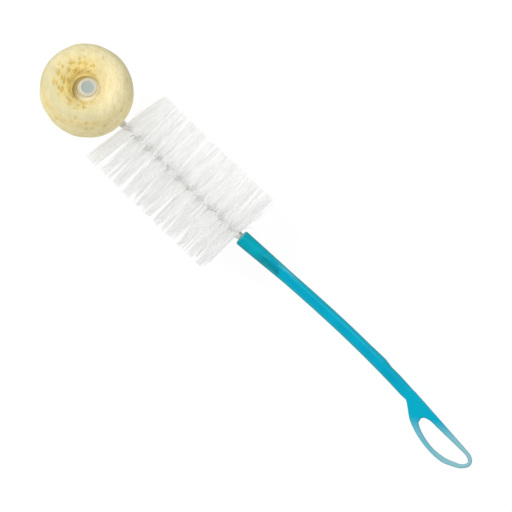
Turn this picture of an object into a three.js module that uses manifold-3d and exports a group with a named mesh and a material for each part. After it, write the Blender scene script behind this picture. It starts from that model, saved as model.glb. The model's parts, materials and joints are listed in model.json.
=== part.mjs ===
// A bottle brush with a sponge tip. A moulded handle with a hanging loop holds a stem of twisted wire.
// The twist grips the nylon bristles, and the far end of the stem bends up through a foam ring that
// turns on the sleeve of a push-on cap. Millimetres, +Z up, with the handle towards +X.
import * as THREE from 'three';
import { mergeVertices } from 'three/addons/utils/BufferGeometryUtils.js';
import Module from 'manifold-3d';

const wasm = await Module();
wasm.setup();

// Gap left between pieces that touch or turn on each other
const fitGap = 0.3;

// Wire: one length folded into a hairpin, its two legs twisted round each other
const wireDiameter = 2;
const twistPitch = 15.5;
const twistStart = 115;
const twistEase = 6;
const neckStraight = 2;
const neckStartPull = 13;
const neckEndPull = 9;

// Bristles: filaments laid between the two legs, as a thin strip that the twist turns into a screw
const stripThickness = 0.5;
const stripWidth = 4.6;
const bristleDiameter = 52;
const bristleLength = 83;
const bristleSections = 4;
const strandsPerEdge = 42;
const strandWidth = 0.3;
const strandFan = 55;
const strandFanStep = 0.618;
const restFlat = 0.5;
const handleGap = 3.2;

// How far the bristles' tips lean along X at either end of the brush, on its -Y and +Y sides
const farLeanLeft = -3;
const farLeanRight = 4.5;
const nearLeanLeft = -0.5;
const nearLeanRight = 2;

// Handle: socket, ramp and bowed bar
const socketDiameter = 8.6;
const socketEdgeRadius = 0.9;
const socketLength = 15;
const socketFloor = 1;
const socketLean = 3;
const mouthChamfer = 0.5;
const rampLength = 12;
const rampSteepening = 1.3;
const gripLength = 123.8;
const gripEndOffset = 1.1;
const gripEndLean = 4.85;
const barWidth = 7;
const barThickness = 5.2;
const barSquareness = 2.7;
const barTaperEnd = 33;
const thumbSwell = 0.55;
const thumbSwellLength = 16;
const thumbShoulderAt = 105.5;
const thumbShoulderLength = 3;
const loopBlendLength = 22;

// Handle: D-shaped hanging loop, measured from the end of the bar
const loopThickness = 3.4;
const loopEdgeRadius = 0.7;
const loopRoot = 6;
const loopRootWidth = 4;
const loopLength = 50.2;
const loopBellyAt = 28;
const loopBelly = 11.9;
const loopTipDrop = 3.4;
const loopTipRound = 6.2;
const loopTipInset = 1;
const loopCornerAngle = -35;
const loopTipAngle = 54;
const webLength = 11.9;
const webHoleDrop = 4.2;
const webHoleAngle = -75;
const rimBelly = 2.4;
const rimTip = 2.1;
const rimSideNear = 3.6;
const rimSideFar = 2.1;
const holeTipDrop = 1;
const holeTipAngle = 80;
const holeSideAngle = 185;
const holeSideStart = 23.8;

// How far the loop's curves are drawn along their end directions, as shares of the distance that each spans
const tightPull = 0.2;
const easyPull = 0.35;
const roundPull = 0.54;

// Sponge: a foam ring, dimpled on both faces, with a well for the cap
const spongeDiameter = 50;
const spongeThickness = 28;
const spongeCrestDiameter = 33;
const spongeSideBulge = 1;
const spongeShoulderDrop = 2;
const spongeFunnelDrop = 2.5;
const spongeGap = 3.4;
const spongeRise = 27;
const spongeSide = -0.5;
const spongeForwardLean = 15;
const spongeSideLean = 11;
const dimpleDepth = 7;
const capWellDepth = 5.5;

// Tip cap: crown, brim and the sleeve that grips the folded wire. Backing washer under the sponge
const sleeveWall = 1.6;
const brimDiameter = 14.4;
const brimThickness = 1.2;
const crownDiameter = 10.6;
const crownHeight = 3.4;
const crownRound = 1;
const recessDiameter = 6.2;
const recessDepth = 0.8;
const recessFlare = 0.4;
const capRoof = 1.2;
const washerDiameter = 16;
const washerThickness = 1.5;

// Facets
const wireSides = 6;
const wireStepsPerTurn = 11;
const gripSides = 20;
const gripStep = 3;
const loopSegments = 9;
const turnSegments = 40;
const spongeSteps = 22;
const roundSteps = 3;
const samplesPerStep = 4;

// Sizes that follow from those above
const degrees = Math.PI / 180;
const wireRadius = wireDiameter / 2;
const coilRadius = wireRadius + fitGap + stripThickness / 2;
const stemBore = coilRadius + wireRadius + fitGap;
const bristleEnd = handleGap + bristleLength;
const wireInsert = socketLength - socketFloor - fitGap - wireRadius;
const halfSponge = spongeThickness / 2;
const dimpleFloor = halfSponge - dimpleDepth;
const capSeat = dimpleFloor - capWellDepth;
const brimTop = capSeat + fitGap + brimThickness;
const crownTop = brimTop + crownHeight;
const capCeiling = crownTop - recessDepth - capRoof;
const sleeveRadius = stemBore + sleeveWall;
const washerTop = -dimpleFloor - fitGap;
const washerBottom = washerTop - washerThickness;
const spongeReach = spongeDiameter / 2 + spongeGap;
const hairpinTop = capCeiling - fitGap - wireRadius - coilRadius;

const tipCentre = new THREE.Vector3(-bristleEnd - spongeReach, spongeSide, spongeRise);
const tipAxis = new THREE.Vector3(
  -Math.tan(spongeForwardLean * degrees),
  Math.tan(spongeSideLean * degrees),
  1,
).normalize();
const alongTip = (height) => tipCentre.clone().addScaledVector(tipAxis, height);

const materials = {
  handle: new THREE.MeshStandardMaterial({ color: 0x0aa3c2, roughness: 0.35, metalness: 0 }),
  steel: new THREE.MeshStandardMaterial({ color: 0xb9bcbb, roughness: 0.35, metalness: 0.9 }),
  nylon: new THREE.MeshStandardMaterial({ color: 0xf2f2f0, roughness: 0.5, metalness: 0 }),
  foam: new THREE.MeshStandardMaterial({ color: 0xf0dda0, roughness: 0.95, metalness: 0 }),
  cap: new THREE.MeshStandardMaterial({ color: 0xd9dad2, roughness: 0.35, metalness: 0 }),
};

const brush = new THREE.Group();
const tip = new THREE.Group();
tip.position.copy(tipCentre);
tip.quaternion.setFromUnitVectors(new THREE.Vector3(0, 0, 1), tipAxis);
brush.add(tip);

function place(parent, name, geometry, material) {
  const mesh = new THREE.Mesh(geometry, material);
  mesh.name = name;
  parent.add(mesh);
}

// Solids for joining and cutting
function toSolid(geometry) {
  const bare = geometry.clone();
  bare.deleteAttribute('normal');
  bare.deleteAttribute('uv');
  const merged = mergeVertices(bare);
  const vertProperties = new Float32Array(merged.attributes.position.array);
  const triVerts = new Uint32Array(merged.index.array);
  return new wasm.Manifold(new wasm.Mesh({ numProp: 3, vertProperties, triVerts }));
}

function toGeometry(solid) {
  const mesh = solid.getMesh();
  const geometry = new THREE.BufferGeometry();
  geometry.setAttribute('position', new THREE.BufferAttribute(mesh.vertProperties, 3));
  geometry.setIndex(new THREE.BufferAttribute(mesh.triVerts, 1));
  geometry.computeVertexNormals();
  return geometry;
}

// A closed skin over a row of rings that have equally many points, with a fan over each end
function loft(rings) {
  const sides = rings[0].length;
  const last = rings.length - 1;
  const positions = rings.flat();
  const index = [];
  for (let row = 0; row < last; row++) {
    for (let side = 0; side < sides; side++) {
      const next = (side + 1) % sides;
      const a = row * sides + side;
      const b = row * sides + next;
      index.push(a, b, a + sides, b, b + sides, a + sides);
    }
  }
  for (let side = 1; side < sides - 1; side++) {
    index.push(0, side + 1, side);
    index.push(last * sides, last * sides + side, last * sides + side + 1);
  }
  const geometry = new THREE.BufferGeometry().setFromPoints(positions);
  geometry.setIndex(index);
  return geometry;
}

// A turned piece: the profile is [radius, height] pairs, and the axis is Z
function turned(profile) {
  const points = profile.map(([radius, height]) => new THREE.Vector2(radius, height));
  return new THREE.LatheGeometry(points, turnSegments).rotateX(Math.PI / 2);
}

// Stem path: out of the socket, along the bristles, up the neck and through the sponge
const socketLine = new THREE.Vector3(Math.cos(socketLean * degrees), Math.sin(socketLean * degrees), 0);
const mouthBend = handleGap / 2;
const neckStart = new THREE.Vector3(-bristleEnd - neckStraight, 0, 0);
const neckEnd = alongTip(washerBottom);

const stemPath = new THREE.CurvePath();
stemPath.add(new THREE.LineCurve3(
  socketLine.clone().multiplyScalar(wireInsert),
  socketLine.clone().multiplyScalar(mouthBend),
));
stemPath.add(new THREE.QuadraticBezierCurve3(
  socketLine.clone().multiplyScalar(mouthBend),
  new THREE.Vector3(0, 0, 0),
  new THREE.Vector3(-mouthBend, 0, 0),
));
stemPath.add(new THREE.LineCurve3(new THREE.Vector3(-mouthBend, 0, 0), neckStart));
stemPath.add(new THREE.CubicBezierCurve3(
  neckStart,
  neckStart.clone().add(new THREE.Vector3(-neckStartPull, 0, 0)),
  neckEnd.clone().addScaledVector(tipAxis, -neckEndPull),
  neckEnd,
));
stemPath.add(new THREE.LineCurve3(neckEnd, alongTip(hairpinTop)));

// The twist turns with the length along the stem, left-handed, and eases to a stop before the fold
const stemLength = stemPath.getLength();
const frameCount = 400;
const stemFrames = stemPath.computeFrenetFrames(frameCount, false);

function twistAngle(distance) {
  const easing = Math.max(0, distance - (stemLength - twistEase));
  const turnedLength = distance - easing ** 2 / (2 * twistEase);
  return twistStart * degrees - (2 * Math.PI * turnedLength) / twistPitch;
}

function stemFrame(distance) {
  const u = THREE.MathUtils.clamp(distance / stemLength, 0, 1);
  const row = Math.min(Math.floor(u * frameCount), frameCount - 1);
  const mix = u * frameCount - row;
  const blend = (list) => list[row].clone().lerp(list[row + 1], mix).normalize();
  const angle = twistAngle(distance);
  const normal = blend(stemFrames.normals);
  const binormal = blend(stemFrames.binormals);
  const across = normal.clone().multiplyScalar(Math.cos(angle)).addScaledVector(binormal, Math.sin(angle));
  const centre = stemPath.getPointAt(u);
  const tangent = blend(stemFrames.tangents);
  return { centre, tangent, across, outward: across.clone().cross(tangent) };
}

// The hairpin: up one leg, round the fold, and back down the other
const foldLength = Math.PI * coilRadius;
const hairpinLength = 2 * stemLength + foldLength;

class Hairpin extends THREE.Curve {
  getPoint(t) {
    const travelled = t * hairpinLength;
    const beyond = travelled - stemLength;
    if (beyond > 0 && beyond < foldLength) {
      const { centre, tangent, across } = stemFrame(stemLength);
      const angle = beyond / coilRadius;
      centre.addScaledVector(across, coilRadius * Math.cos(angle));
      return centre.addScaledVector(tangent, coilRadius * Math.sin(angle));
    }
    const onFirstLeg = beyond <= 0;
    const { centre, across } = stemFrame(onFirstLeg ? travelled : hairpinLength - travelled);
    return centre.addScaledVector(across, onFirstLeg ? coilRadius : -coilRadius);
  }
}

function stemWire() {
  const hairpin = new Hairpin();
  const steps = Math.round((wireStepsPerTurn * hairpinLength) / twistPitch);
  hairpin.arcLengthDivisions = steps * samplesPerStep;
  printLeastGap(hairpin, steps * samplesPerStep);
  const section = new THREE.Shape();
  section.absarc(0, 0, wireRadius, 0, 2 * Math.PI);
  return new THREE.ExtrudeGeometry(section, {
    steps,
    extrudePath: hairpin,
    curveSegments: wireSides / 2,
  });
}

// Least clear distance of the wire from itself, between points that are more than a fold apart along it
function printLeastGap(curve, count) {
  const points = curve.getSpacedPoints(count);
  const apart = Math.ceil((foldLength / curve.getLength()) * count);
  let least = Infinity;
  for (let first = 0; first < points.length; first++) {
    for (let second = first + apart; second < points.length; second++) {
      least = Math.min(least, points[first].distanceTo(points[second]));
    }
  }
  console.log(`least gap of the wire to itself: ${(least - wireDiameter).toFixed(2)} mm`);
}

// Distance along the stem, from its cut ends, at which the bristles begin
const bristleStart = stemPath.getCurveLengths()[1] + handleGap - mouthBend;

// Reach of a strand from the strip's edge to the bristles' outline. Each is turned a step further in the
// fan than the one before, and leans towards the ends of the brush
function strandReach(distance, side, number) {
  const { across, outward } = stemFrame(distance);
  const turn = strandFan * degrees * (2 * ((number * strandFanStep) % 1) - 1);
  const direction = outward.multiplyScalar(Math.cos(turn)).addScaledVector(across, Math.sin(turn));
  const start = stripWidth / 2;
  const length = Math.sqrt((bristleDiameter / 2) ** 2 - (start * Math.sin(turn)) ** 2) - start * Math.cos(turn);
  const reach = direction.multiplyScalar(side * length);

  const place = (2 * (distance - bristleStart)) / bristleLength - 1;
  const right = 0.5 + reach.y / bristleDiameter;
  const farLean = THREE.MathUtils.lerp(farLeanLeft, farLeanRight, right) * Math.max(0, place) ** 3;
  const nearLean = THREE.MathUtils.lerp(nearLeanLeft, nearLeanRight, right) * Math.max(0, -place) ** 3;
  reach.x += farLean + nearLean;
  return reach;
}

// Bristles: each section is a slice of the twisted strip, drawn out into strands along both its edges
function bristleSection(section) {
  const slice = bristleLength / bristleSections;
  const from = bristleStart + section * slice + fitGap / 2;
  const to = from + slice - fitGap;
  const strandAt = (row) => from + ((row + 0.5) * (to - from)) / strandsPerEdge;
  const points = [];
  const index = [];
  const quad = (a, b, c, d) => index.push(a, b, c, a, c, d);

  const addRing = (distance) => {
    const { centre, across, outward } = stemFrame(distance);
    for (const [side, face] of [[-1, -1], [1, -1], [1, 1], [-1, 1]]) {
      const corner = centre.clone().addScaledVector(outward, (side * stripWidth) / 2);
      points.push(corner.addScaledVector(across, (face * stripThickness) / 2));
    }
    return points.length - 4;
  };
  const addStrand = (base, reach) => {
    const end = base.map((corner) => points.push(points[corner].clone().add(reach)) - 1);
    base.forEach((corner, i) => {
      const next = (i + 1) % base.length;
      quad(corner, base[next], end[next], end[i]);
    });
    quad(...end);
  };

  let ring = addRing(from);
  quad(ring + 3, ring + 2, ring + 1, ring);
  const addSlice = (distance, rightReach, leftReach) => {
    const next = addRing(distance);
    const edge = (a, b) => [ring + a, ring + b, next + b, next + a];
    quad(...edge(0, 1));
    quad(...edge(2, 3));
    if (rightReach) {
      addStrand(edge(1, 2), rightReach);
      addStrand(edge(3, 0), leftReach);
    } else {
      quad(...edge(1, 2));
      quad(...edge(3, 0));
    }
    ring = next;
  };
  for (let row = 0; row < strandsPerEdge; row++) {
    const distance = strandAt(row);
    addSlice(distance - strandWidth / 2);
    addSlice(distance + strandWidth / 2, strandReach(distance, 1, row), strandReach(distance, -1, row));
  }
  addSlice(to);
  quad(ring, ring + 1, ring + 2, ring + 3);

  const geometry = new THREE.BufferGeometry().setFromPoints(points);
  geometry.setIndex(index);
  const floorBlock = new THREE.BoxGeometry(2 * bristleEnd, 2 * bristleDiameter, bristleDiameter);
  floorBlock.translate(-bristleEnd, 0, restFlat - bristleDiameter);
  return toGeometry(toSolid(geometry).subtract(toSolid(floorBlock)));
}

// Handle: a loft along the bowed spine, joined to the loop, with a blind bore for the wire
const spine = new THREE.CubicBezierCurve3(
  new THREE.Vector3(0, 0, 0),
  socketLine.clone().multiplyScalar(gripLength / 3),
  new THREE.Vector3(
    gripLength - (gripLength / 3) * Math.cos(gripEndLean * degrees),
    gripEndOffset + (gripLength / 3) * Math.sin(gripEndLean * degrees),
    0,
  ),
  new THREE.Vector3(gripLength, gripEndOffset, 0),
);
const spineLength = spine.getLength();
const ease = (value, from, to) => THREE.MathUtils.clamp((value - from) / (to - from), 0, 1);

function gripSection(distance) {
  const edge = Math.max(0, socketEdgeRadius - distance);
  const rounding = socketEdgeRadius - Math.sqrt(socketEdgeRadius ** 2 - edge ** 2);
  const ramp = ease(distance, socketLength, socketLength + rampLength);
  const blend = ease(distance, spineLength - loopBlendLength, spineLength);
  const taper = ease(distance, 0, barTaperEnd);
  const swell = thumbSwell
    * ease(distance, thumbShoulderAt - thumbSwellLength, thumbShoulderAt)
    * (1 - ease(distance, thumbShoulderAt, thumbShoulderAt + thumbShoulderLength));
  const width = THREE.MathUtils.lerp(socketDiameter, barWidth, taper);
  const thickness = THREE.MathUtils.lerp(socketDiameter, barThickness, ramp ** rampSteepening);
  return {
    halfWidth: THREE.MathUtils.lerp(width, barWidth - fitGap, blend) / 2 - rounding,
    halfThickness: THREE.MathUtils.lerp(thickness, loopThickness - fitGap, blend) / 2 - rounding,
    swell,
    squareness: THREE.MathUtils.lerp(2, barSquareness, ramp),
  };
}

function gripRing(distance) {
  const u = distance / spineLength;
  const centre = spine.getPointAt(u);
  const sideways = new THREE.Vector3(0, 0, 1).cross(spine.getTangentAt(u));
  const { halfWidth, halfThickness, swell, squareness } = gripSection(distance);
  const bulge = (value) => Math.sign(value) * Math.abs(value) ** (2 / squareness);
  const ring = [];
  for (let side = 0; side < gripSides; side++) {
    const angle = (2 * Math.PI * side) / gripSides;
    const width = Math.cos(angle) > 0 ? halfWidth + swell : halfWidth;
    const point = centre.clone().addScaledVector(sideways, width * bulge(Math.cos(angle)));
    point.z += halfThickness * bulge(Math.sin(angle));
    ring.push(point);
  }
  return ring;
}

function gripBar() {
  const stations = [];
  for (let step = 0; step <= roundSteps; step++) {
    stations.push(socketEdgeRadius * (1 - Math.cos((step * Math.PI) / 2 / roundSteps)));
  }
  const addRun = (to) => {
    const from = stations.at(-1);
    const count = Math.ceil((to - from) / gripStep);
    for (let step = 1; step <= count; step++) {
      stations.push(from + ((to - from) * step) / count);
    }
  };
  addRun(socketLength);
  addRun(socketLength + rampLength);
  addRun(thumbShoulderAt - thumbSwellLength);
  addRun(thumbShoulderAt);
  addRun(thumbShoulderAt + thumbShoulderLength);
  addRun(spineLength);
  return loft(stations.map(gripRing));
}

// A curve to a point, leaving and arriving at the given angles in degrees
function swing(path, x, y, leave, arrive, leavePull, arrivePull) {
  const from = path.currentPoint;
  const span = Math.hypot(x - from.x, y - from.y);
  path.bezierCurveTo(
    from.x + leavePull * span * Math.cos(leave * degrees),
    from.y + leavePull * span * Math.sin(leave * degrees),
    x - arrivePull * span * Math.cos(arrive * degrees),
    y - arrivePull * span * Math.sin(arrive * degrees),
    x,
    y,
  );
}

function hangingLoop() {
  const side = barWidth / 2;
  const outline = new THREE.Shape();
  outline.moveTo(-loopRoot, loopRootWidth / 2);
  outline.lineTo(-loopRoot, -loopRootWidth / 2);
  outline.lineTo(0, -side);
  swing(outline, loopBellyAt, -loopBelly, loopCornerAngle, 0, easyPull, easyPull);
  swing(outline, loopLength - loopTipInset, -loopTipDrop, 0, loopTipAngle, easyPull, easyPull);
  swing(outline, loopLength - loopTipRound, side, loopTipAngle, 180, roundPull, roundPull);
  outline.lineTo(0, side);
  outline.closePath();

  const hole = new THREE.Path();
  hole.moveTo(webLength, -webHoleDrop);
  swing(hole, loopBellyAt, rimBelly - loopBelly, webHoleAngle, 0, tightPull, easyPull);
  swing(hole, loopLength - rimTip, -holeTipDrop, 0, holeTipAngle, easyPull, tightPull);
  const farSide = new THREE.Vector2(loopLength - rimTip - loopTipRound, side - rimSideFar);
  swing(hole, farSide.x, farSide.y, holeTipAngle, holeSideAngle, easyPull, easyPull);
  hole.lineTo(holeSideStart, side - rimSideNear);
  swing(hole, webLength, -webHoleDrop, holeSideAngle, webHoleAngle, easyPull, tightPull);
  outline.holes.push(hole);

  const geometry = new THREE.ExtrudeGeometry(outline, {
    depth: loopThickness - 2 * loopEdgeRadius,
    curveSegments: loopSegments,
    bevelThickness: loopEdgeRadius,
    bevelSize: loopEdgeRadius,
    bevelOffset: -loopEdgeRadius,
    bevelSegments: 2,
  });
  geometry.translate(0, 0, loopEdgeRadius - loopThickness / 2);
  geometry.rotateZ(-gripEndLean * degrees);
  return geometry.translate(gripLength, gripEndOffset, 0);
}

function socketBore() {
  const depth = socketLength - socketFloor;
  const profile = [
    [0, -mouthChamfer],
    [stemBore + 2 * mouthChamfer, -mouthChamfer],
    [stemBore, mouthChamfer],
    [stemBore, depth],
    [0, depth],
  ];
  return turned(profile).rotateY(Math.PI / 2).rotateZ(socketLean * degrees);
}

function handle() {
  return toGeometry(toSolid(gripBar()).add(toSolid(hangingLoop())).subtract(toSolid(socketBore())));
}

// Sponge: the rounded outside is one curve from the lower dimple round to the upper one
function sponge() {
  const well = brimDiameter / 2 + fitGap;
  const seat = washerDiameter / 2 + fitGap;
  const bore = sleeveRadius + fitGap;
  const radius = spongeDiameter / 2;
  const crest = spongeCrestDiameter / 2;
  const shoulder = (crest + radius) / 2 + spongeSideBulge;
  const outside = new THREE.SplineCurve([
    new THREE.Vector2(seat, -dimpleFloor),
    new THREE.Vector2((seat + crest) / 2, spongeFunnelDrop - halfSponge),
    new THREE.Vector2(crest, -halfSponge),
    new THREE.Vector2(shoulder, spongeShoulderDrop - halfSponge),
    new THREE.Vector2(radius - spongeSideBulge, -halfSponge / 2),
    new THREE.Vector2(radius, 0),
    new THREE.Vector2(radius - spongeSideBulge, halfSponge / 2),
    new THREE.Vector2(shoulder, halfSponge - spongeShoulderDrop),
    new THREE.Vector2(crest, halfSponge),
    new THREE.Vector2((well + crest) / 2, halfSponge - spongeFunnelDrop),
    new THREE.Vector2(well, dimpleFloor),
  ]);
  const profile = outside.getPoints(spongeSteps).map((point) => [point.x, point.y]);
  profile.push([well, capSeat], [bore, capSeat], [bore, -dimpleFloor], profile[0]);
  return turned(profile);
}

function tipCap() {
  const crown = crownDiameter / 2;
  const brim = brimDiameter / 2;
  const recess = recessDiameter / 2;
  const profile = [
    [0, capCeiling],
    [stemBore, capCeiling],
    [stemBore, washerTop + fitGap],
    [sleeveRadius, washerTop + fitGap],
    [sleeveRadius, capSeat + fitGap],
    [brim, capSeat + fitGap],
    [brim, brimTop],
    [crown, brimTop],
  ];
  for (let step = 0; step <= roundSteps; step++) {
    const angle = (step * Math.PI) / 2 / roundSteps;
    profile.push([
      crown - crownRound + crownRound * Math.cos(angle),
      crownTop - crownRound + crownRound * Math.sin(angle),
    ]);
  }
  profile.push([recess + recessFlare, crownTop]);
  profile.push([recess, crownTop - recessDepth]);
  profile.push([0, crownTop - recessDepth]);
  return turned(profile);
}

function backingWasher() {
  const outer = washerDiameter / 2;
  return turned([
    [stemBore, washerBottom],
    [outer, washerBottom],
    [outer, washerTop],
    [stemBore, washerTop],
    [stemBore, washerBottom],
  ]);
}

place(brush, 'handle', handle(), materials.handle);
place(brush, 'stem_wire', stemWire(), materials.steel);
for (let section = 0; section < bristleSections; section++) {
  place(brush, `bristles_${section + 1}`, bristleSection(section), materials.nylon);
}
place(tip, 'sponge', sponge(), materials.foam);
place(tip, 'tip_cap', tipCap(), materials.cap);
place(tip, 'backing_washer', backingWasher(), materials.cap);

// The origin is on the surface that the brush lies on, under the middle of its outline
const outline = new THREE.Box3().setFromObject(brush, true);
const middle = outline.getCenter(new THREE.Vector3());
brush.position.set(-middle.x, -middle.y, -outline.min.z);

export default brush;
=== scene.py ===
import bisect
import bmesh
import bpy
import json
import math
import random
from mathutils import Matrix, Vector, geometry, noise


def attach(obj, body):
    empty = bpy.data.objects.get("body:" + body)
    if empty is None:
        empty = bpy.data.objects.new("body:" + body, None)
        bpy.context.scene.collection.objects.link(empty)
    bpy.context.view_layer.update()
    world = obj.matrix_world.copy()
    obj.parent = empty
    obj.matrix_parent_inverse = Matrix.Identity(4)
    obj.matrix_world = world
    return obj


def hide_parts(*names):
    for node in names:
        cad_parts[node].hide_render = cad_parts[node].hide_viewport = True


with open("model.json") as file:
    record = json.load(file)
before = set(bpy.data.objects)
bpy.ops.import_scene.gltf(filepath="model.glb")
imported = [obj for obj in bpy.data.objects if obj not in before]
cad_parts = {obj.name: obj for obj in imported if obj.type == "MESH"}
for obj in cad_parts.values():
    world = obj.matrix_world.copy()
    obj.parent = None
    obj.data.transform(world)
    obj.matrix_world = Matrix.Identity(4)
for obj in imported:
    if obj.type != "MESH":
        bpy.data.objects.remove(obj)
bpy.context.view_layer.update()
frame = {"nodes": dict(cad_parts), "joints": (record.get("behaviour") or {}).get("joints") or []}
mm = 0.001
weld = 0.001 * mm  # points closer than this become one
print("frame loaded:", ", ".join(sorted(frame["nodes"])))

# the foam ring's axis is the joint's, and the handle's socket is measured from it
spin = frame["joints"][0]
tipCentre = Vector(spin["pos_m"])
tipAxis = Vector(spin["axis"]).normalized()
socketFace = tipCentre + Vector((114.6, 0.5, -27.0)) * mm
alongStem = Vector((-1, 0, 0))


# shader helpers

class Sock:  # a node's output that can stand in a sum
    def __init__(self, finish, output):
        self.finish = finish
        self.output = output

    def __add__(self, other):
        return self.finish.calc("ADD", self, other)

    __radd__ = __add__

    def __sub__(self, other):
        return self.finish.calc("SUBTRACT", self, other)

    def __rsub__(self, other):
        return self.finish.calc("SUBTRACT", other, self)

    def __mul__(self, other):
        return self.finish.calc("MULTIPLY", self, other)

    __rmul__ = __mul__


class Finish:  # the nodes of a material or of the sky
    def __init__(self, owner, end="ShaderNodeOutputMaterial"):
        self.owner = owner
        self.end = end
        owner.use_nodes = True
        self.tree = owner.node_tree
        self.tree.nodes.clear()

    def node(self, kind, settings=None, sockets=None, out=0):
        made = self.tree.nodes.new(kind)
        for name, value in (settings or {}).items():
            setattr(made, name, value)
        for key, value in (sockets or {}).items():
            if isinstance(value, Sock):
                self.tree.links.new(value.output, made.inputs[key])
            else:
                made.inputs[key].default_value = value
        return Sock(self, made.outputs[out]) if made.outputs else None

    def calc(self, operation, first, second=0.0):
        return self.node("ShaderNodeMath", {"operation": operation}, {0: first, 1: second})

    def objectCoords(self):
        return self.node("ShaderNodeTexCoord", out="Object")

    def attribute(self, name):
        return self.node("ShaderNodeAttribute", {"attribute_name": name}, out="Fac")

    def grain(self, vector, scale, detail=2.0):
        return self.node("ShaderNodeTexNoise", {}, {"Vector": vector, "Scale": scale, "Detail": detail})

    def ramp(self, value, ends):  # 0 at the first end, 1 at the second, smooth between
        sockets = {"Value": value, "From Min": ends[0], "From Max": ends[1]}
        return self.node("ShaderNodeMapRange", {"interpolation_type": "SMOOTHSTEP"}, sockets)

    def between(self, value, rise, fall):  # 0 before the rise and after the fall, 1 between them
        return self.ramp(value, rise) * (1.0 - self.ramp(value, fall))

    def mix(self, share, first, second):
        return self.node("ShaderNodeMix", {"data_type": "RGBA"}, {0: share, 6: first, 7: second}, out=2)

    def bump(self, height, depth, strength=1.0):
        return self.node("ShaderNodeBump", {}, {"Strength": strength, "Distance": depth, "Height": height})

    def seen(self):  # 1 for what the camera sees, also in a mirror or through glass
        camera = self.node("ShaderNodeLightPath", out="Is Camera Ray")
        glossy = self.node("ShaderNodeLightPath", out="Is Glossy Ray")
        clear = self.node("ShaderNodeLightPath", out="Is Transmission Ray")
        return self.calc("MAXIMUM", self.calc("MAXIMUM", camera, glossy), clear)

    def show(self, shader):
        self.node(self.end, {}, {"Surface": shader})
        return self.owner

    def surface(self, sockets):
        return self.show(self.node("ShaderNodeBsdfPrincipled", {}, sockets))


def colour(red, green, blue):  # screen values of 0 to 255 to what the shaders take
    def linear(value):
        share = value / 255
        return share / 12.92 if share <= 0.04045 else ((share + 0.055) / 1.055) ** 2.4
    return linear(red), linear(green), linear(blue), 1.0


def span(low, high):  # both ends of a stretch, in mm
    return low * mm, high * mm


# finishes

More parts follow.
